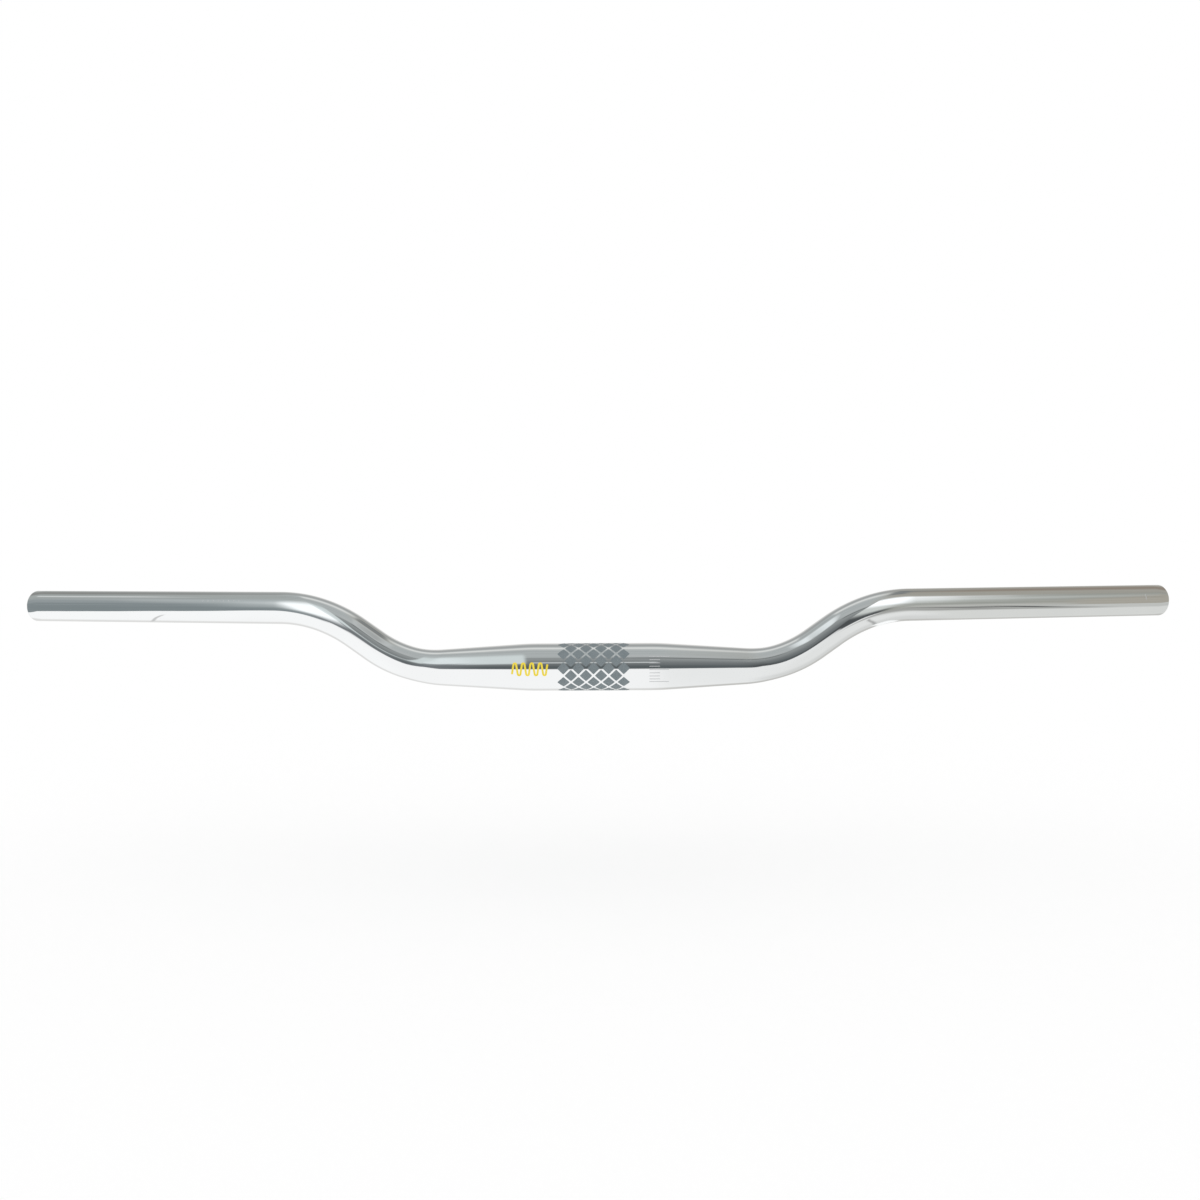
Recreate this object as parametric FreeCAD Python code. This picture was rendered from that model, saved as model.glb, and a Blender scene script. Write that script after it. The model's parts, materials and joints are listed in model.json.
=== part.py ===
import FreeCAD, Part
import math
import os

from FreeCAD import Vector

# Riser handlebar for a bicycle: one aluminium tube, tapered from a wide clamp zone to two
# straight grip zones and bent twice on each side, so that the grips stand higher than the
# clamp and sweep back.
# Millimetres and degrees. The origin is the middle of the clamp zone, +X runs along the clamp
# zone, +Y points back towards the rider and +Z points up.

# Overall form. The backsweep of the grip zones is seen from above, and so is the part of it
# that the lower bends give to the rising parts.
WIDTH = 820.0
RISE = 40.5
BACKSWEEP = 13.0
RISING_SWEEP = 6.5
UPSWEEP = 0.6

# Bends: the lower corner's distance from the middle, the run of the rising part along the
# clamp zone's axis, and the radius of the tube's centre line in each bend
LOWER_CORNER = 127.5
RISING_RUN = 59.0
LOWER_BEND_RADIUS = 83.0
UPPER_BEND_RADIUS = 98.0

# Outside of the tube
CLAMP_DIAMETER = 31.8
CLAMP_LENGTH = 75.0
GRIP_DIAMETER = 22.2
TAPER_LENGTH = 75.0
TAPER_BLEND_RADIUS = 200.0

# Wall, thicker where the stem clamps it
CLAMP_WALL = 2.4
GRIP_WALL = 2.0

# Rounded rims at the open ends
OUTER_RIM_ROUND = 0.6
INNER_RIM_ROUND = 0.4

# Steps in which a tapered stretch of a bend is lofted, and how closely edges are matched
LOFT_STEPS = 6
MATCH_TOLERANCE = 1e-3


class Bend:
    """A circular bend that rounds one corner of the centre line."""

    def __init__(self, corner, way_in, way_out, radius):
        self.turn = way_in.getAngle(way_out)
        self.tangent = radius * math.tan(self.turn / 2)
        self.start = corner - way_in * self.tangent
        self.end = corner + way_out * self.tangent
        self.axis = way_in.cross(way_out).normalize()
        self.centre = self.start + self.axis.cross(way_in) * radius
        self.radius = radius


# Centre line of the right half: clamp zone, lower bend, rising part, upper bend, grip zone
sweep = math.radians(BACKSWEEP)
rising_sweep = math.radians(RISING_SWEEP)
upward = math.radians(UPSWEEP)
lower_corner = Vector(LOWER_CORNER, 0, 0)
upper_corner = lower_corner + Vector(RISING_RUN, RISING_RUN * math.tan(rising_sweep), RISE)
along_clamp = Vector(1, 0, 0)
along_rise = (upper_corner - lower_corner).normalize()
along_grip = Vector(
    math.cos(sweep) * math.cos(upward),
    math.sin(sweep) * math.cos(upward),
    math.sin(upward),
)
grip_end = upper_corner + along_grip * ((WIDTH / 2 - upper_corner.x) / along_grip.x)
lower_bend = Bend(lower_corner, along_clamp, along_rise, LOWER_BEND_RADIUS)
upper_bend = Bend(upper_corner, along_rise, along_grip, UPPER_BEND_RADIUS)


class Taper:
    """The tube's radius along the centre line: cylinder, arc, cone, arc and cylinder."""

    def __init__(self, clamp_radius, grip_radius):
        self.wide = clamp_radius
        self.narrow = grip_radius
        slope = math.atan((clamp_radius - grip_radius) / TAPER_LENGTH)
        tangent = TAPER_BLEND_RADIUS * math.tan(slope / 2)
        arc_length = TAPER_BLEND_RADIUS * math.sin(slope)
        self.slope = slope
        self.clamp_end = CLAMP_LENGTH / 2
        self.cone_start = self.clamp_end + arc_length
        self.corner = self.clamp_end + tangent
        self.end = self.corner + TAPER_LENGTH + tangent
        self.cone_end = self.end - arc_length

    def radius(self, distance):
        """Radius at a distance along the centre line from the middle of the bar."""
        if distance <= self.clamp_end:
            return self.wide
        if distance < self.cone_start:
            return self.wide - self.arc_drop(distance - self.clamp_end)
        if distance <= self.cone_end:
            return self.wide - (distance - self.corner) * math.tan(self.slope)
        if distance < self.end:
            return self.narrow + self.arc_drop(self.end - distance)
        return self.narrow

    def arc_drop(self, distance):
        """How far a blend arc has left its cylinder after a distance along the axis."""
        return TAPER_BLEND_RADIUS - math.sqrt(TAPER_BLEND_RADIUS**2 - distance**2)

    def point(self, distance):
        """Point of the profile in the XZ plane."""
        return Vector(distance, 0, self.radius(distance))

    def arc(self, start, end):
        """Blend arc of the profile between two distances."""
        middle = (start + end) / 2
        return Part.Arc(self.point(start), self.point(middle), self.point(end)).toShape()

    def straight_solid(self, length):
        """Turned solid from the middle of the bar to a length along +X."""
        reach = max(length, self.end) + self.wide
        foot = Vector(reach, 0, 0)
        edges = [
            Part.makeLine(Vector(0, 0, 0), self.point(0)),
            Part.makeLine(self.point(0), self.point(self.clamp_end)),
            self.arc(self.clamp_end, self.cone_start),
            Part.makeLine(self.point(self.cone_start), self.point(self.cone_end)),
            self.arc(self.cone_end, self.end),
            Part.makeLine(self.point(self.end), self.point(reach)),
            Part.makeLine(self.point(reach), foot),
            Part.makeLine(foot, Vector(0, 0, 0)),
        ]
        profile = Part.Face(Part.Wire(edges))
        turned = profile.revolve(Vector(0, 0, 0), Vector(1, 0, 0), 360)
        room = 2 * self.wide
        stock = Part.makeBox(length, 2 * room, 2 * room, Vector(0, -room, -room))
        return turned.common(stock)


def bend_circle(bend, radius, distance):
    """Circle across a bend at a distance along its centre line."""
    circle = Part.Wire(Part.makeCircle(radius, bend.start, along_clamp))
    circle.rotate(bend.centre, bend.axis, math.degrees(distance / bend.radius))
    return circle


def half_bar(taper, overrun):
    """Filled right half of the bar, with its end moved outwards by the overrun."""
    straight = lower_bend.start.x
    pieces = [taper.straight_solid(straight)]

    # The taper runs into the first stretch of the lower bend
    tapered = max(taper.end - straight, 0)
    if tapered > 0:
        stations = [tapered * step / LOFT_STEPS for step in range(LOFT_STEPS + 1)]
        circles = [bend_circle(lower_bend, taper.radius(straight + at), at) for at in stations]
        pieces.append(Part.makeLoft(circles, True, False))

    # The rest of the tube is one section carried along the centre line
    section = Part.Face(bend_circle(lower_bend, taper.narrow, tapered))
    rest_of_bend = math.degrees(lower_bend.turn - tapered / lower_bend.radius)
    pieces.append(section.revolve(lower_bend.centre, lower_bend.axis, rest_of_bend))
    section.rotate(lower_bend.centre, lower_bend.axis, rest_of_bend)

    rising = upper_bend.start - lower_bend.end
    pieces.append(section.extrude(rising))
    section.translate(rising)

    upper_turn = math.degrees(upper_bend.turn)
    pieces.append(section.revolve(upper_bend.centre, upper_bend.axis, upper_turn))
    section.rotate(upper_bend.centre, upper_bend.axis, upper_turn)

    grip = grip_end - upper_bend.end + along_grip * overrun
    pieces.append(section.extrude(grip))
    return pieces[0].multiFuse(pieces[1:])


def whole_bar(taper, overrun):
    """Filled bar: the right half and its mirror image."""
    right = half_bar(taper, overrun)
    left = right.mirror(Vector(0, 0, 0), Vector(1, 0, 0))
    return right.fuse(left).removeSplitter()


def rim_edges(shape, radius):
    """Circular edges of one radius around the two open ends."""
    found = []
    for edge in shape.Edges:
        if not isinstance(edge.Curve, Part.Circle):
            continue
        at_end = abs(abs(edge.Curve.Center.x) - grip_end.x) < MATCH_TOLERANCE
        if at_end and abs(edge.Curve.Radius - radius) < MATCH_TOLERANCE:
            found.append(edge)
    return found


# Outside, bore and rims. The tool that cuts the bore runs out of each end by a diameter.
grip_radius = GRIP_DIAMETER / 2
bore_radius = grip_radius - GRIP_WALL
outside = whole_bar(Taper(CLAMP_DIAMETER / 2, grip_radius), 0)
bore = whole_bar(Taper(CLAMP_DIAMETER / 2 - CLAMP_WALL, bore_radius), GRIP_DIAMETER)
handlebar = outside.cut(bore)
handlebar = handlebar.makeFillet(OUTER_RIM_ROUND, rim_edges(handlebar, grip_radius))
handlebar = handlebar.makeFillet(INNER_RIM_ROUND, rim_edges(handlebar, bore_radius))
handlebar = handlebar.Solids[0]

os.makedirs("parts", exist_ok=True)
handlebar.exportStep("parts/handlebar.step")

print("volume", round(handlebar.Volume), "grip length", round((grip_end - upper_bend.end).Length, 2))
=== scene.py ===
import json
import math

import bmesh
import bpy
from mathutils import Matrix, Vector


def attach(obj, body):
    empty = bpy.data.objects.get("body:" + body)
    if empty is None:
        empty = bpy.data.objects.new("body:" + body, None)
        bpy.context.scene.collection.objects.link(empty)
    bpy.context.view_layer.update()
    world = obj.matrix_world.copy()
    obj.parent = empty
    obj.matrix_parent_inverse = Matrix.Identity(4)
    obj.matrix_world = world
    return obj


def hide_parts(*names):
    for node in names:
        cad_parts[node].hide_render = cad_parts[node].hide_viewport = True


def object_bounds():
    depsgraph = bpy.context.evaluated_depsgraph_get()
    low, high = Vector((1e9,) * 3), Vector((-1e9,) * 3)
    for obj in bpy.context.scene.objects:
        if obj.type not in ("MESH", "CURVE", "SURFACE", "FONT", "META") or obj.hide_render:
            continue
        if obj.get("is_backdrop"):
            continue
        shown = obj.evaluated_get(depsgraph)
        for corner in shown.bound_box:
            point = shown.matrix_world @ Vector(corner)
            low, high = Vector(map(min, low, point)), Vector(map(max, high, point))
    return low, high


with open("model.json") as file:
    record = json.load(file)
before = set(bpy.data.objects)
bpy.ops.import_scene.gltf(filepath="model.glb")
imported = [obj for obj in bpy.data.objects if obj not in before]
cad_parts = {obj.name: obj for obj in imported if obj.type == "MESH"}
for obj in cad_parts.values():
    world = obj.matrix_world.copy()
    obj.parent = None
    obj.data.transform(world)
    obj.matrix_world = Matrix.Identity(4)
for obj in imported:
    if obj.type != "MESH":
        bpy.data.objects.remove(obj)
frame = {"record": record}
cad_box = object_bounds()

# Handlebar tube
# One aluminium tube, drawn with a wide clamp zone and two tapers, then bent twice on each side
# and polished to a mirror. Its ends are cut square and their rims are broken.
MM = 0.001
mounts = {mount["name"]: mount for mount in frame["record"]["mounts"]}
clamp = mounts["stem_clamp"]["dims"]
grip = mounts["right_grip"]
CLAMP_RADIUS = clamp["r_mm"] * MM
CLAMP_END = clamp["length_mm"] * MM / 2
CLAMP_WALL = 2.4 * MM
GRIP_RADIUS = grip["dims"]["r_mm"] * MM
BORE_RADIUS = mounts["right_end"]["dims"]["r_mm"] * MM
TAPER_LENGTH = 75 * MM
TAPER_BLEND_RADIUS = 200 * MM
HALF_WIDTH = 410 * MM
LOWER_CORNER = 127.5 * MM
UPPER_CORNER = 186.5 * MM
LOWER_BEND_RADIUS = 83 * MM
UPPER_BEND_RADIUS = 98 * MM
OUTER_RIM_ROUND = 0.6 * MM
INNER_RIM_ROUND = 0.4 * MM
RIM_STEPS = 3
ROUND_STEPS = 128
MIDDLE_STEPS = 40
BEND_STEPS = 32
RISE_STEPS = 4
GRIP_STEPS = 24
BRIDGE_SETBACK = 1 * MM
MERGE = 0.001 * MM


class Run:
    """One stretch of a line, swept in equal steps: straight, or turned about an axis."""

    def __init__(self, length, steps, shift=(0, 0, 0), centre=(0, 0, 0), axis=(0, 0, 1), turn=0.0):
        self.length = length
        self.steps = steps
        self.shift = Vector(shift)
        self.centre = Vector(centre)
        self.axis = Vector(axis)
        self.turn = turn

    def motion(self, share):
        """How a share of this run moves what is carried along it."""
        pivot = Matrix.Translation(self.centre)
        turned = pivot @ Matrix.Rotation(self.turn * share, 4, self.axis) @ pivot.inverted()
        return Matrix.Translation(self.shift * share) @ turned


class Corner:
    """A corner of the centre line, rounded to a bend."""

    def __init__(self, at, way_in, way_out, radius):
        self.turn = way_in.angle(way_out)
        tangent = radius * math.tan(self.turn / 2)
        self.start = at - way_in * tangent
        self.end = at + way_out * tangent
        self.axis = way_in.cross(way_out).normalized()
        self.centre = self.start + self.axis.cross(way_in) * radius
        self.length = self.turn * radius

    def run(self, steps):
        return Run(self.length, steps, centre=self.centre, axis=self.axis, turn=self.turn)


def straight_run(start, end, steps):
    return Run((end - start).length, steps, shift=end - start)


along_clamp = Vector((1, 0, 0))
along_grip = Vector(grip["axis"]).normalized()
grip_middle = Vector(grip["pos_m"])


def on_grip_line(x):
    return grip_middle + along_grip * ((x - grip_middle.x) / along_grip.x)


lower_corner = Vector((LOWER_CORNER, 0, 0))
upper_corner = on_grip_line(UPPER_CORNER)
along_rise = (upper_corner - lower_corner).normalized()
lower_bend = Corner(lower_corner, along_clamp, along_rise, LOWER_BEND_RADIUS)
upper_bend = Corner(upper_corner, along_rise, along_grip, UPPER_BEND_RADIUS)
centre_line = [
    straight_run(Vector(), lower_bend.start, MIDDLE_STEPS),
    lower_bend.run(BEND_STEPS),
    straight_run(lower_bend.end, upper_bend.start, RISE_STEPS),
    upper_bend.run(BEND_STEPS),
    straight_run(upper_bend.end, on_grip_line(HALF_WIDTH), GRIP_STEPS),
]


def bent(point):
    """Where a point of the straight tube lies once the tube is bent."""
    side = -1 if point.x < 0 else 1
    left_over = abs(point.x)
    place = Vector((0, point.y, point.z))
    for run in centre_line:
        share = min(left_over / run.length, 1)
        place = run.motion(share) @ place
        left_over = max(left_over - run.length, 0)
    return Vector((place.x * side, place.y, place.z))


def tapered_radius(distance, wide=CLAMP_RADIUS, narrow=GRIP_RADIUS):
    """Radius along the tube: a cylinder, a cone between two blend arcs, and a cylinder."""
    slope = math.atan((wide - narrow) / TAPER_LENGTH)
    tangent = TAPER_BLEND_RADIUS * math.tan(slope / 2)
    arc = TAPER_BLEND_RADIUS * math.sin(slope)
    corner = CLAMP_END + tangent
    end = corner + TAPER_LENGTH + tangent

    def arc_drop(along):
        return TAPER_BLEND_RADIUS - math.sqrt(TAPER_BLEND_RADIUS**2 - along**2)

    if distance <= CLAMP_END:
        return wide
    if distance < CLAMP_END + arc:
        return wide - arc_drop(distance - CLAMP_END)
    if distance <= end - arc:
        return wide - (distance - corner) * math.tan(slope)
    if distance < end:
        return narrow + arc_drop(end - distance)
    return narrow


def drawn_skin(mesh, wide, narrow):
    """Draws a ring out along the right half of the straight tube and returns its last edges."""
    facing = Matrix.Rotation(math.pi / 2, 4, "Y")
    verts = bmesh.ops.create_circle(mesh, segments=ROUND_STEPS, radius=wide, matrix=facing)["verts"]
    ring = verts + list({edge for vert in verts for edge in vert.link_edges})
    distance = 0.0
    radius = wide
    for run in centre_line:
        for step in range(run.steps):
            pull = Vector((run.length / run.steps, 0, 0))
            ring = bmesh.ops.spin(mesh, geom=ring, axis=along_clamp, dvec=pull, steps=1)["geom_last"]
            distance += pull.x
            growth = tapered_radius(distance, wide, narrow) / radius
            radius *= growth
            verts = [part for part in ring if isinstance(part, bmesh.types.BMVert)]
            bmesh.ops.scale(mesh, vec=(1, growth, growth), verts=verts)
    return [part for part in ring if isinstance(part, bmesh.types.BMEdge)]


def bend_mesh(mesh):
    """Bends a mesh of the straight tube. Each vertex keeps its straight place for the finishes."""
    straight = mesh.verts.layers.float_vector.new("straight")
    for vert in mesh.verts:
        vert[straight] = vert.co
        vert.co = bent(vert.co)


class Shade:
    """A socket of a material's node tree. Arithmetic on it adds Math nodes."""

    def __init__(self, tree, socket=None):
        self.tree = tree
        self.socket = socket

    def node(self, kind, settings, sockets, output=0):
        """Adds a node, sets it up, fills its sockets and returns one of its outputs."""
        made = self.tree.nodes.new(kind)
        for name, value in settings.items():
            setattr(made, name, value)
        for name, value in sockets.items():
            if isinstance(value, Shade):
                self.tree.links.new(value.socket, made.inputs[name])
            else:
                made.inputs[name].default_value = value
        return Shade(self.tree, made.outputs[output] if made.outputs else None)

    def math(self, operation, first, second=0.0):
        return self.node("ShaderNodeMath", {"operation": operation}, {0: first, 1: second})

    def __add__(self, other):
        return self.math("ADD", self, other)

    def __radd__(self, other):
        return self.math("ADD", other, self)

    def __sub__(self, other):
        return self.math("SUBTRACT", self, other)

    def __rsub__(self, other):
        return self.math("SUBTRACT", other, self)

    def __mul__(self, other):
        return self.math("MULTIPLY", self, other)

    def __rmul__(self, other):
        return self.math("MULTIPLY", other, self)

    def step(self, start, end):
        """A smooth step from 0 at start to 1 at end."""
        sockets = {"Value": self, "From Min": start, "From Max": end}
        return self.node("ShaderNodeMapRange", {"interpolation_type": "SMOOTHSTEP"}, sockets)

    def mixed(self, first, second):
        """The colour between two colours that this value gives."""
        sockets = {"Factor": self, "A": first, "B": second}
        return self.node("ShaderNodeMix", {"data_type": "RGBA"}, sockets, "Result")

    def noise(self, scale, detail):
        return self.node("ShaderNodeTexNoise", {}, {"Vector": self, "Scale": scale, "Detail": detail})

    def stretched(self, scale):
        return self.node("ShaderNodeMapping", {}, {"Vector": self, "Scale": scale})

    def axis(self, name):
        """One part of a vector: X, Y or Z."""
        return self.node("ShaderNodeSeparateXYZ", {}, {"Vector": self}, name)

    def bumped(self, height, distance, **normal):
        return self.node("ShaderNodeBump", {}, {"Height": height, "Distance": distance, **normal})


def new_material(name):
    """An empty node material, and the first end of its tree."""
    material = bpy.data.materials.new(name)
    material.use_nodes = True
    material.node_tree.nodes.clear()
    return material, Shade(material.node_tree)


def show(shader):
    """Sends a shader to its material's output."""
    shader.node("ShaderNodeOutputMaterial", {}, {"Surface": shader})


def straight_place(shade):
    """The place on the straight tube, which the finishes follow round the bends."""
    return shade.node("ShaderNodeAttribute", {"attribute_name": "straight"}, {}, "Vector")


def polished_aluminium():
    """Mirror polish with faint lengthwise lines, wiped haze and a slow waviness from the bending."""
    material, shade = new_material("polished_aluminium")
    place = straight_place(shade)
    lines = place.stretched((25, 1800, 1800)).noise(1.0, 3.0)
    haze = place.noise(28.0, 4.0)
    waves = place.noise(14.0, 1.0)
    normal = shade.bumped(waves, 0.0004)
    normal = shade.bumped(lines, 0.000001, Normal=normal)
    show(shade.node("ShaderNodeBsdfPrincipled", {}, {
        "Base Color": haze.mixed((0.90, 0.905, 0.91, 1), (0.94, 0.945, 0.95, 1)),
        "Metallic": 1.0,
        "Roughness": 0.03 + 0.03 * haze.step(0.35, 0.75) + 0.02 * lines.step(0.4, 0.8),
        "Normal": normal,
    }))
    return material


def drawn_aluminium():
    """The inside, left as it was drawn: dull, with long scores."""
    material, shade = new_material("drawn_aluminium")
    scores = straight_place(shade).stretched((20, 1500, 1500)).noise(1.0, 4.0)
    show(shade.node("ShaderNodeBsdfPrincipled", {}, {
        "Base Color": scores.mixed((0.50, 0.50, 0.50, 1), (0.72, 0.72, 0.72, 1)),
        "Metallic": 1.0,
        "Roughness": 0.35 + 0.2 * scores,
        "Normal": shade.bumped(scores, 0.00002),
    }))
    return material


def finished(name, mesh, *materials):
    """Closes a bmesh into an object with its materials."""
    data = bpy.data.meshes.new(name)
    mesh.to_mesh(data)
    mesh.free()
    for material in materials:
        data.materials.append(material)
    piece = bpy.data.objects.new(name, data)
    bpy.context.scene.collection.objects.link(piece)
    return piece


mesh = bmesh.new()
outer_rim = drawn_skin(mesh, CLAMP_RADIUS, GRIP_RADIUS)
outer_skin = set(mesh.faces)
inner_rim = drawn_skin(mesh, CLAMP_RADIUS - CLAMP_WALL, BORE_RADIUS)
for face in mesh.faces:
    face.smooth = True
    face.material_index = 0 if face in outer_skin else 1
bore_rim = list({vert for edge in inner_rim for vert in edge.verts})
bmesh.ops.translate(mesh, vec=(-BRIDGE_SETBACK, 0, 0), verts=bore_rim)
for face in bmesh.ops.bridge_loops(mesh, edges=outer_rim + inner_rim)["faces"]:
    face.material_index = 0
bmesh.ops.translate(mesh, vec=(BRIDGE_SETBACK, 0, 0), verts=bore_rim)
bmesh.ops.recalc_face_normals(mesh, faces=mesh.faces)
for edges, offset in ((outer_rim, OUTER_RIM_ROUND), (inner_rim, INNER_RIM_ROUND)):
    rounded = bmesh.ops.bevel(
        mesh, geom=edges, offset=offset, segments=RIM_STEPS, profile=0.5, affect="EDGES", material=-1,
    )
    for face in rounded["faces"]:
        face.smooth = True
bmesh.ops.mirror(mesh, geom=mesh.verts[:] + mesh.edges[:] + mesh.faces[:], axis="X", merge_dist=MERGE)
bmesh.ops.remove_doubles(mesh, verts=mesh.verts, dist=MERGE)
bmesh.ops.recalc_face_normals(mesh, faces=mesh.faces)
bend_mesh(mesh)
tube = finished("handlebar_tube", mesh, polished_aluminium(), drawn_aluminium())
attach(tube, "root")
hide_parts("handlebar")

# Grey band
# A band of staggered lozenges, screen printed in satin grey ink all round the clamp zone, where
# the stem's jaws close on it. The ink is a thin film that stands a little proud of the metal.
LOZENGE_COLUMNS = 5
LOZENGE_ROWS = 10
LOZENGE_PITCH = 10 * MM
LOZENGE_GAP = 1.7 * MM
LOZENGE_ROUND = 0.5 * MM
LOZENGE_ROUND_STEPS = 2
INK_LIFT = 0.04 * MM
INK_SINK = 0.03 * MM
INK_EDGE_ANGLE = 0.5
WRAP_STEP = 1.1 * MM


def ink(name, first, second):
    """Satin ink with a fine grain and faintly uneven cover."""
    material, shade = new_material(name)
    place = straight_place(shade)
    grain = place.noise(2500.0, 2.0)
    cover = place.noise(160.0, 3.0)
    show(shade.node("ShaderNodeBsdfPrincipled", {}, {
        "Base Color": cover.step(0.3, 0.7).mixed(first, second),
        "Roughness": 0.38 + 0.12 * grain,
        "Normal": shade.bumped(grain, 0.000004),
    }))
    return material


def printed(name, mesh, material):
    """Gives a flat print its thickness, wraps it round the tube and bends it with the tube.
    The flat print has X along the tube and Y round it, with Y 0 at the front."""
    low = min(vert.co.y for vert in mesh.verts)
    high = max(vert.co.y for vert in mesh.verts)
    for cut in range(1, int((high - low) / WRAP_STEP) + 1):
        parts = mesh.verts[:] + mesh.edges[:] + mesh.faces[:]
        line = (0, low + cut * WRAP_STEP, 0)
        bmesh.ops.bisect_plane(mesh, geom=parts, dist=MERGE, plane_co=line, plane_no=(0, 1, 0))
    bmesh.ops.translate(mesh, vec=(0, 0, INK_LIFT), verts=mesh.verts)
    bmesh.ops.solidify(mesh, geom=mesh.faces[:], thickness=INK_LIFT + INK_SINK)
    bmesh.ops.recalc_face_normals(mesh, faces=mesh.faces)
    for face in mesh.faces:
        face.smooth = True
    for edge in mesh.edges:
        edge.smooth = edge.calc_face_angle() < INK_EDGE_ANGLE
    for vert in mesh.verts:
        radius = tapered_radius(abs(vert.co.x))
        angle = vert.co.y / radius
        reach = radius + vert.co.z
        vert.co = (vert.co.x, -reach * math.cos(angle), reach * math.sin(angle))
    bend_mesh(mesh)
    piece = finished(name, mesh, material)
    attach(piece, "root")


mesh = bmesh.new()
row_pitch = 2 * math.pi * CLAMP_RADIUS / LOZENGE_ROWS
for half_column in range(2 * LOZENGE_COLUMNS - 1):
    x = (half_column / 2 - (LOZENGE_COLUMNS - 1) / 2) * LOZENGE_PITCH
    for row in range(LOZENGE_ROWS):
        y = (row + half_column % 2 / 2) * row_pitch
        half_sizes = ((LOZENGE_PITCH - LOZENGE_GAP) / 2, (row_pitch - LOZENGE_GAP) / 2, 1, 1)
        place = Matrix.Translation((x, y, 0)) @ Matrix.Diagonal(half_sizes)
        bmesh.ops.create_circle(mesh, segments=4, radius=1.0, cap_ends=True, matrix=place)
bmesh.ops.bevel(
    mesh, geom=mesh.verts[:], offset=LOZENGE_ROUND, segments=LOZENGE_ROUND_STEPS, profile=0.5,
    affect="VERTICES", material=-1,
)
grey_ink = ink("grey_ink", (0.17, 0.205, 0.22, 1), (0.19, 0.225, 0.24, 1))
printed("grey_band", mesh, grey_ink)

# Yellow wave
# A plain wavy stroke in yellow ink, screen printed on the front of the left taper in the same thin
# film as the band.
WAVE_START = -54 * MM
WAVE_BASE = -3.8 * MM
WAVE_LEAN = math.radians(81)
WAVE_TURN_RADIUS = 0.9 * MM
WAVE_FLANK = 6.6 * MM
WAVE_TURNS = 8
WAVE_TURN_STEPS = 10
WAVE_WIDTH = 1.3 * MM


def wave_runs():
    """The stroke's runs: leaning flanks, joined by round turns that go over and under."""
    heading = WAVE_LEAN
    tip = Vector((WAVE_START, WAVE_BASE, 0))
    for turn in range(WAVE_TURNS + 1):
        flank = Vector((math.cos(heading), math.sin(heading), 0)) * WAVE_FLANK
        yield Run(WAVE_FLANK, 1, shift=flank)
        tip = tip + flank
        if turn == WAVE_TURNS:
            return
        bend = math.copysign(2 * WAVE_LEAN, -heading)
        inward = Vector((-math.sin(heading), math.cos(heading), 0)) * math.copysign(WAVE_TURN_RADIUS, bend)
        centre = tip + inward
        yield Run(abs(bend) * WAVE_TURN_RADIUS, WAVE_TURN_STEPS, centre=centre, turn=bend)
        tip = centre + Matrix.Rotation(bend, 3, "Z") @ -inward
        heading += bend


mesh = bmesh.new()
across = Vector((math.sin(WAVE_LEAN), -math.cos(WAVE_LEAN), 0)) * WAVE_WIDTH / 2
start = Vector((WAVE_START, WAVE_BASE, 0))
ends = [mesh.verts.new(start + across), mesh.verts.new(start - across)]
stroke = ends + [mesh.edges.new(ends)]
for run in wave_runs():
    stroke = bmesh.ops.spin(
        mesh, geom=stroke, cent=run.centre, axis=run.axis, dvec=run.shift, angle=run.turn, steps=run.steps,
    )["geom_last"]
bmesh.ops.recalc_face_normals(mesh, faces=mesh.faces)
for face in mesh.faces:
    if face.normal.z < 0:
        face.normal_flip()
yellow_ink = ink("yellow_ink", (0.84, 0.66, 0.03, 1), (0.90, 0.72, 0.05, 1))
printed("yellow_wave", mesh, yellow_ink)

# Etched scales
# Fine frosted lines, etched into the polish: a scale beside the band for setting the bar's angle
# in the stem, a row of ticks on the left grip zone and a cutting mark near the right end.
ETCHED_WIDTH = 0.4 * MM
ANGLE_SCALE_PLACE = 37 * MM
ANGLE_SCALE_LOW = -10 * MM
ANGLE_SCALE_PITCH = 2.2 * MM
ANGLE_SCALE_TICKS = 9
ANGLE_SCALE_GROUP = 4
ANGLE_SCALE_LONG = 13 * MM
ANGLE_SCALE_SHORT = 7 * MM
LEVER_SCALE_PLACE = -281 * MM
LEVER_SCALE_HEIGHT = 4 * MM
LEVER_SCALE_PITCH = 4 * MM
LEVER_SCALE_TICKS = 8
LEVER_SCALE_TICK = 1.4 * MM
CUT_MARK_PLACE = 406 * MM
CUT_MARK_HEIGHT = 1.8 * MM
CUT_MARK_LENGTH = 4 * MM


def etched_metal():
    """Frosted aluminium: pale, rough and a little uneven."""
    material, shade = new_material("etched_metal")
    frost = straight_place(shade).noise(3000.0, 2.0)
    show(shade.node("ShaderNodeBsdfPrincipled", {}, {
        "Base Color": frost.mixed((0.42, 0.43, 0.44, 1), (0.56, 0.57, 0.58, 1)),
        "Roughness": 0.55 + 0.2 * frost,
        "Normal": shade.bumped(frost, 0.000006),
    }))
    return material


def etched_line(mesh, x, y, length, height):
    """A flat etched line: its near left corner, its length along the tube and round it."""
    middle = Matrix.Translation((x + length / 2, y + height / 2, 0))
    sides = Matrix.Diagonal((length / 2, height / 2, 1, 1))
    steps = math.ceil(length / WRAP_STEP)
    bmesh.ops.create_grid(mesh, x_segments=steps, y_segments=1, size=1.0, matrix=middle @ sides)


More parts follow.
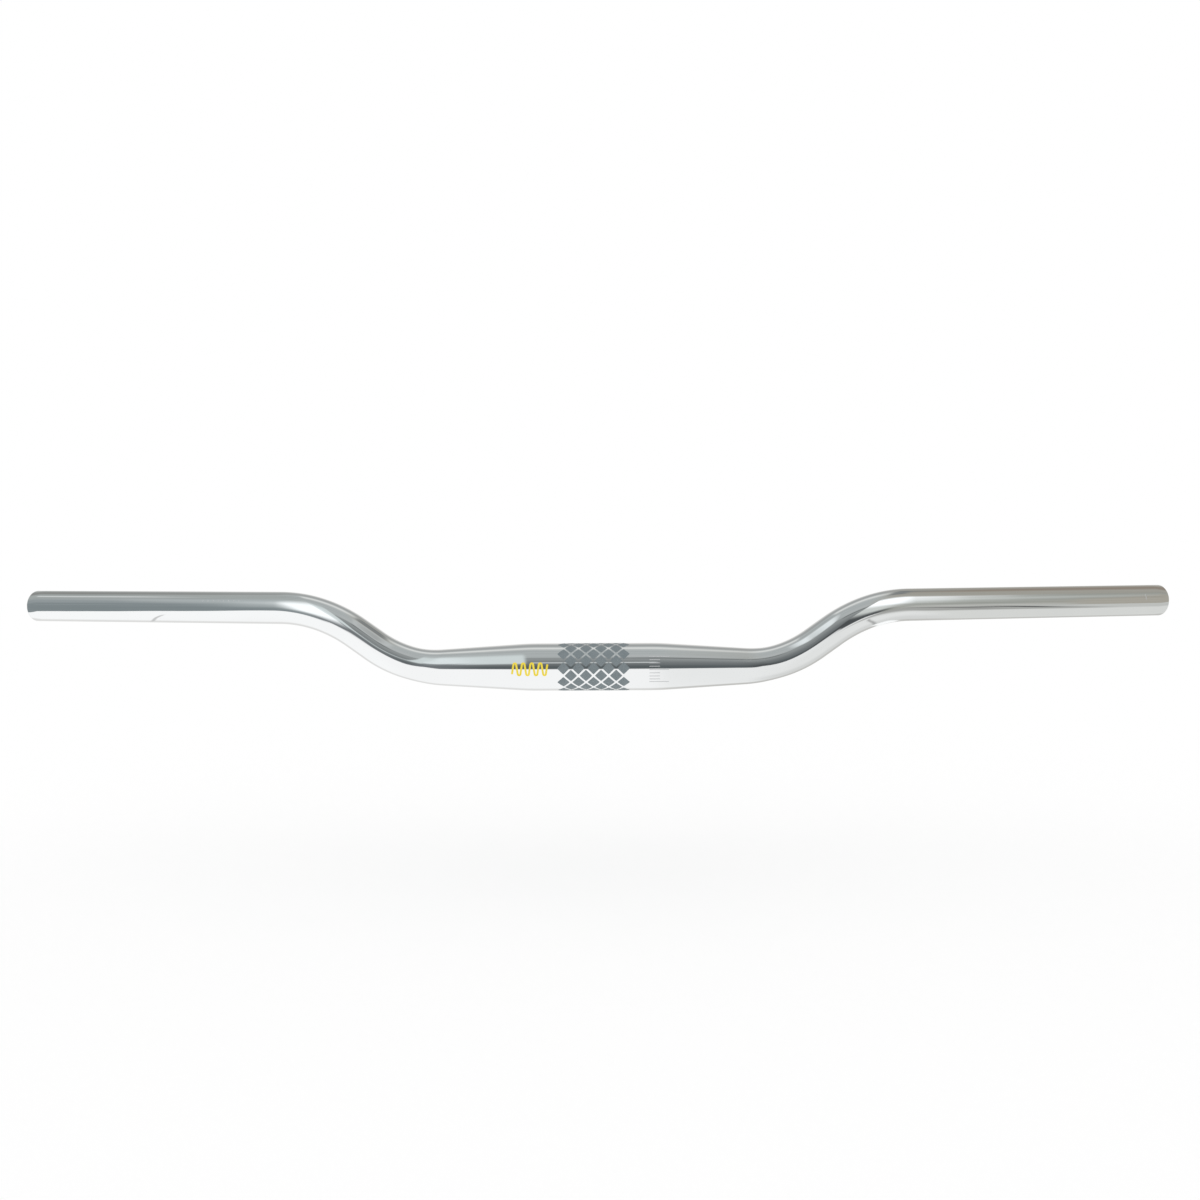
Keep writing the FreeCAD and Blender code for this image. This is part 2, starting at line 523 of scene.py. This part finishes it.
mesh = bmesh.new()
for tick in range(ANGLE_SCALE_TICKS):
    length = ANGLE_SCALE_SHORT if tick % ANGLE_SCALE_GROUP else ANGLE_SCALE_LONG
    etched_line(mesh, ANGLE_SCALE_PLACE, ANGLE_SCALE_LOW + tick * ANGLE_SCALE_PITCH, length, ETCHED_WIDTH)
for tick in range(LEVER_SCALE_TICKS):
    x = LEVER_SCALE_PLACE + tick * LEVER_SCALE_PITCH
    etched_line(mesh, x, LEVER_SCALE_HEIGHT - LEVER_SCALE_TICK / 2, ETCHED_WIDTH, LEVER_SCALE_TICK)
etched_line(mesh, CUT_MARK_PLACE, CUT_MARK_HEIGHT - CUT_MARK_LENGTH / 2, ETCHED_WIDTH, CUT_MARK_LENGTH)
printed("etched_scales", mesh, etched_metal())

# Studio
# A white floor, an even white sky for the light, and a painted reflection of a photo studio that
# only polished metal shows: glowing pieces that light nothing, painted with a white table, two
# soft box highlights, a reflector card, a lit ceiling, a window and the walls.
FLOOR_DROP = 120 * MM
FLOOR_HALF = 30.0
ROOM_RADIUS = 20.0
NEAR_TABLE_MIDDLE = 0.15
NEAR_TABLE_HALF = 0.65
NEAR_TABLE_DROP = 1 * MM
CARD_HALF = 1.0
CARD_FORWARD = 0.9
CARD_HEIGHT = 0.9
CARD_WHITE_PLACE = 12.0 * MM
CARD_GREY_PLACE = 11.6 * MM

mesh = bmesh.new()
bmesh.ops.create_grid(mesh, x_segments=1, y_segments=1, size=FLOOR_HALF)
bmesh.ops.translate(mesh, vec=(0, 0, cad_box[0][2] - FLOOR_DROP), verts=mesh.verts)
material, shade = new_material("white_floor")
show(shade.node("ShaderNodeBsdfDiffuse", {}, {"Color": (1, 1, 1, 1)}))
floor = finished("floor", mesh, material)
floor.visible_glossy = False
floor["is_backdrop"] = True

# Directions in the room, in degrees: to the side, and round the bar's axis with 0 in front of it,
# 90 overhead and 180 behind it
mesh = bmesh.new()
bmesh.ops.create_uvsphere(mesh, u_segments=48, v_segments=24, radius=ROOM_RADIUS)
material, shade = new_material("painted_studio_reflection")
place = shade.node("ShaderNodeTexCoord", {}, {}, "Object")
way = shade.node("ShaderNodeVectorMath", {"operation": "NORMALIZE"}, {0: place})
DEGREES = 180 / math.pi
side = DEGREES * shade.math("ARCSINE", way.axis("X"))
left = 0 - side
apart = shade.math("ABSOLUTE", side)
pitch = DEGREES * shade.math("ARCTAN2", way.axis("Z"), 0 - way.axis("Y"))


def over(value, edge, soft):
    """1 over an edge, 0 under it, and soft between."""
    return value.step(edge - soft, edge + soft)


def under(value, edge, soft):
    return 1 - over(value, edge, soft)


def band(value, low, high, soft):
    return over(value, low, soft) * under(value, high, soft)


# Painted reflection of the ceiling with its light, the back wall and the side walls
ceiling_light = band(pitch, 99, 113, 10) * under(apart, 15.3, 1.6)
light = ceiling_light.mixed((0.43, 0.46, 0.46, 1), (0.78, 0.79, 0.77, 1))
light = (band(pitch, 121, 141, 8) * under(apart, 22, 4)).mixed(light, (0.365, 0.375, 0.37, 1))
back_wall = over(pitch, 151, 15)
light = back_wall.mixed(light, (0.77, 0.75, 0.73, 1))
light = (back_wall * over(apart, 20, 4)).mixed(light, (0.63, 0.615, 0.595, 1))
left_wall = over(left, 24, 12)
light = (left_wall * under(pitch, 162, 6)).mixed(light, (0.38, 0.41, 0.40, 1))
light = (left_wall * band(pitch, 111, 143, 8)).mixed(light, (0.26, 0.265, 0.255, 1))
light = (over(left, 37, 4) * under(pitch, 70, 18)).mixed(light, (0.285, 0.32, 0.33, 1))
light = (band(left, 36, 46, 4) * band(pitch, 44, 72, 10)).mixed(light, (0.36, 0.385, 0.385, 1))
light = (over(left, 40, 6) * under(pitch, 32, 16)).mixed(light, (0.225, 0.26, 0.27, 1))
light = (over(side, 15, 10) * under(pitch, 156, 6)).mixed(light, (0.37, 0.36, 0.32, 1))
light = (over(side, 25, 4) * band(pitch, 104, 134, 10)).mixed(light, (0.28, 0.24, 0.20, 1))
light = (band(side, 16, 25, 3) * band(pitch, 90, 122, 6)).mixed(light, (0.20, 0.21, 0.21, 1))
light = (over(side, 38, 4) * under(pitch, 70, 9)).mixed(light, (0.35, 0.36, 0.33, 1))
light = (over(side, 50, 2) * under(pitch, 60, 8)).mixed(light, (0.40, 0.38, 0.33, 1))
light = (band(left, 37.5, 45.5, 2) * band(pitch, 85, 94, 2)).mixed(light, (0.66, 0.68, 0.68, 1))

# Level streaks painted into the reflected walls: shelves, seams and shadows
ways = shade.node("ShaderNodeCombineXYZ", {}, {"X": side, "Y": pitch})
streaks = ways.stretched((0.03, 0.2, 1)).noise(1.0, 2.0)
light = (0.2 * streaks.step(0.52, 0.72)).mixed(light, (0.62, 0.65, 0.65, 1))
light = (0.2 * under(streaks, 0.4, 0.1)).mixed(light, (0.14, 0.155, 0.16, 1))

# Painted reflection of the front wall: darker towards its foot, with a dark ledge, a window on the left
# and a line of light
light = (band(side, -2, 13, 2) * band(pitch, 53, 62, 3)).mixed(light, (0.45, 0.47, 0.47, 1))
light = (band(side, -10, 16.5, 1.5) * under(pitch, 50, 3)).mixed(light, (0.285, 0.305, 0.305, 1))
light = (band(side, -22, 16.5, 2) * under(pitch, 30, 14)).mixed(light, (0.165, 0.18, 0.185, 1))
light = (band(side, 1, 15, 1.5) * band(pitch, 44, 48, 1.5)).mixed(light, (0.17, 0.18, 0.18, 1))
light = (band(left, 11, 17.5, 2) * band(pitch, 5, 18, 5)).mixed(light, (0.20, 0.215, 0.22, 1))
window = band(left, 9.3, 17.6, 1.2) * over(pitch, 19.5, 5) * under(pitch, 67, 12)
light = window.mixed(light, (0.65, 0.71, 0.71, 1))
light = (window * over(left, 15.2, 1.5)).mixed(light, (0.76, 0.82, 0.83, 1))
light = (under(apart, 24, 3) * under(pitch, 10, 8)).mixed(light, (0.10, 0.115, 0.12, 1))
light = (band(side, -6.5, 5, 1) * band(pitch, 21.5, 26.5, 1.5)).mixed(light, (0.56, 0.59, 0.59, 1))

# Painted highlights of two soft boxes that light nothing, with a dark gap between their slanted feet
# and the table, and a painted glow of the left one on the wall beside it
glow = band(left, 28, 45.5, 4) * band(pitch, 4, 70, 13)
light = glow.mixed(light, (0.43, 0.47, 0.475, 1))
foot = 38 - left
gap = band(left, 16, 38.5, 2) * under(pitch, foot + 4, 3)
light = gap.mixed(light, (0.17, 0.185, 0.195, 1))
# Painted highlight of the left soft box
box = over(left, 17.8, 1) * under(left, 40, 4.5) * under(pitch + left, 85.5, 14) * over(pitch, foot, 9)
light = box.mixed(light, (1.08, 1.12, 1.13, 1))
foot = 25 - 1.36 * (side - 17)
gap = band(side, 16, 38.5, 2) * under(pitch, foot + 4, 3)
light = gap.mixed(light, (0.075, 0.082, 0.086, 1))
# Painted highlight of the right soft box, with a brighter core
near_edge = over(side, 15.8, 0.8)
far_edge = under(side + 0.22 * (45 - pitch), 47, 8)
box = near_edge * far_edge * under(pitch, 50, 12) * over(pitch, foot, 6)
light = box.mixed(light, (0.62, 0.65, 0.63, 1))
highlight_core = near_edge * under(side, 38.5, 6) * over(pitch + 1.2 * (side - 17), 42, 7) * under(pitch, 66, 8)
light = highlight_core.mixed(light, (1.15, 1.18, 1.20, 1))

# Painted reflection of the table, whose rim rises beside the middle and falls away to the sides
rim = -7 + 10 * apart.step(16.5, 21) - 10 * apart.step(21, 36) - 16 * apart.step(34, 44)
drop = 0.9 * side.step(4, 12) + 3.2 * side.step(22, 29) + 3.3 * shade.math("MAXIMUM", left - 44.5, 0)
height = pitch - rim + drop
light = (band(side, 42, 50, 2) * band(pitch, -24, -7, 5)).mixed(light, (0.50, 0.505, 0.48, 1))
table = under(height, 0, 2.6)
light = table.mixed(light, (0.98, 0.985, 0.985, 1))
light = (table * over(left, 33, 8)).mixed(light, (1.00, 1.01, 1.01, 1))
light = (table * over(side, 5, 8)).mixed(light, (0.855, 0.865, 0.86, 1))
light = (table * over(side, 25, 10)).mixed(light, (0.80, 0.81, 0.80, 1))
light = (table * over(side, 18, 8) * under(pitch, -90, 20)).mixed(light, (0.69, 0.70, 0.69, 1))
# Greyer down and behind the bar: a painted shadow of the bar on the table close under it, and the wall
# beyond the table's back edge
shadow_and_horizon = under(pitch, -129, 10)
light = shadow_and_horizon.mixed(light, (0.77, 0.77, 0.76, 1))
light = (shadow_and_horizon * over(side, 4, 6)).mixed(light, (0.55, 0.55, 0.53, 1))
show(shade.node("ShaderNodeEmission", {}, {"Color": light}))
reflection_dome = finished("painted_studio_reflection", mesh, material)


def show_light(shade, cover, colour):
    """Sends a light to its material's output, as far as the cover goes. The rest is clear."""
    show(shade.node("ShaderNodeMixShader", {}, {
        "Fac": cover,
        1: shade.node("ShaderNodeBsdfTransparent", {}, {}),
        2: shade.node("ShaderNodeEmission", {}, {"Color": colour}),
    }))


# Near part of the table, a glowing sheet that only the metal shows, painted with the reflection of
# its grey right end under the grip, with a rim and two dark slots, and two curved seams of its white
# sheets, with a brighter strip behind the right one
mesh = bmesh.new()
bmesh.ops.create_grid(mesh, x_segments=1, y_segments=1, size=NEAR_TABLE_HALF)
bmesh.ops.translate(mesh, vec=(NEAR_TABLE_MIDDLE, 0, cad_box[0][2] - NEAR_TABLE_DROP), verts=mesh.verts)
material, shade = new_material("painted_table_reflection")
place = shade.node("ShaderNodeTexCoord", {}, {}, "Object")
along = place.axis("X")
back = place.axis("Y")
across = back - 0.23 * along
light = over(along, 0.44, 0.02).mixed((0.38, 0.385, 0.37, 1), (0.55, 0.56, 0.54, 1))
light = over(across, -0.1, 0.012).mixed(light, (0.70, 0.71, 0.69, 1))
slot = band(along, 0.338, 0.37, 0.006) * band(back, -0.14, -0.055, 0.02)
light = slot.mixed(light, (0.22, 0.22, 0.215, 1))
slot = band(along, 0.395, 0.42, 0.006) * band(back, -0.125, -0.04, 0.02)
light = slot.mixed(light, (0.06, 0.065, 0.065, 1))
sheet_edge = along + 0.2 * back - 2.8 * back * back
right_seam = band(sheet_edge, 0.2275, 0.2300, 0.001) * band(back, -0.065, 0.025, 0.008)
light = right_seam.mixed(light, (0.40, 0.405, 0.40, 1))
white_strip = band(along - 0.16 * back, 0.2185, 0.2288, 0.0015) * over(back, 0.026, 0.005)
light = white_strip.mixed(light, (1.02, 1.03, 1.03, 1))
past_middle = back - 0.0475
sheet_edge = along + 4.2 * past_middle * past_middle
left_seam = band(sheet_edge, -0.3477, -0.3447, 0.001) * band(back, 0.004, 0.1, 0.01)
light = left_seam.mixed(light, (0.60, 0.605, 0.605, 1))
right_end = over(along, 0.27, 0.02) * band(across, -0.22, 0.005, 0.012)
show_light(shade, right_end + right_seam + white_strip + left_seam, light)
painted_table_reflection = finished("painted_table_reflection", mesh, material)


# Reflector card, painted as glowing strips that only the metal shows, edge on to the camera, with its
# white face to the right and its grey face to the left
def glowing_reflector(name, x, colour):
    """One face of the card: a glowing slanted strip with soft edges, in front of the bar and over it, a
    painted reflection.
    """
    mesh = bmesh.new()
    facing = Matrix.Translation((x, -CARD_FORWARD, CARD_HEIGHT)) @ Matrix.Rotation(math.pi / 2, 4, "Y")
    bmesh.ops.create_grid(mesh, x_segments=1, y_segments=1, size=CARD_HALF, matrix=facing)
    material, shade = new_material(name)
    place = shade.node("ShaderNodeTexCoord", {}, {}, "Object")
    back = place.axis("Y")
    slant = place.axis("Z") + 0.62 * back
    strip = over(slant, 0.33, 0.06) * under(slant, 0.58, 0.2)
    strip = strip * over(back, -0.85, 0.35) * under(back, -0.06, 0.06)
    show_light(shade, strip, colour)
    return finished(name, mesh, material)


white_face = glowing_reflector("reflector_white_glow", CARD_WHITE_PLACE, (0.80, 0.85, 0.86, 1))
grey_face = glowing_reflector("reflector_grey_glow", CARD_GREY_PLACE, (0.38, 0.395, 0.39, 1))

# The room, the near table and the reflector card glow only for the metal: painted reflections that light
# nothing
for piece in (reflection_dome, painted_table_reflection, white_face, grey_face):
    piece.visible_camera = False
    piece.visible_diffuse = False
    piece.visible_transmission = False
    piece.visible_volume_scatter = False
    piece.visible_shadow = False
    piece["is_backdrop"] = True

world = bpy.data.worlds.new("white_sky")
world.use_nodes = True
world.node_tree.nodes["Background"].inputs["Color"].default_value = (1, 1, 1, 1)
bpy.context.scene.world = world
bpy.context.scene.view_settings.view_transform = "Standard"

# Camera
# It stands in front of the clamp zone, level, a little higher than the grips, and is turned and
# rolled by less than a degree.
CAMERA_PLACE = Vector((11.8, -699.9, 45.1)) * MM
CAMERA_TURN = math.radians(0.607)
CAMERA_ROLL = math.radians(-0.301)
CAMERA_LENS = 31.07
CAMERA_SENSOR = 36.0
lens = bpy.data.cameras.new("camera")
lens.sensor_width = CAMERA_SENSOR
lens.lens = CAMERA_LENS
camera = bpy.data.objects.new("camera", lens)
camera.matrix_world = (
    Matrix.Translation(CAMERA_PLACE)
    @ Matrix.Rotation(CAMERA_TURN, 4, "Z")
    @ Matrix.Rotation(math.pi / 2, 4, "X")
    @ Matrix.Rotation(CAMERA_ROLL, 4, "Z")
)
bpy.context.scene.collection.objects.link(camera)
bpy.context.scene.camera = camera

boxes = {"cad": cad_box, "visual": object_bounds()}
{name: [list(corner) for corner in box] for name, box in boxes.items()}
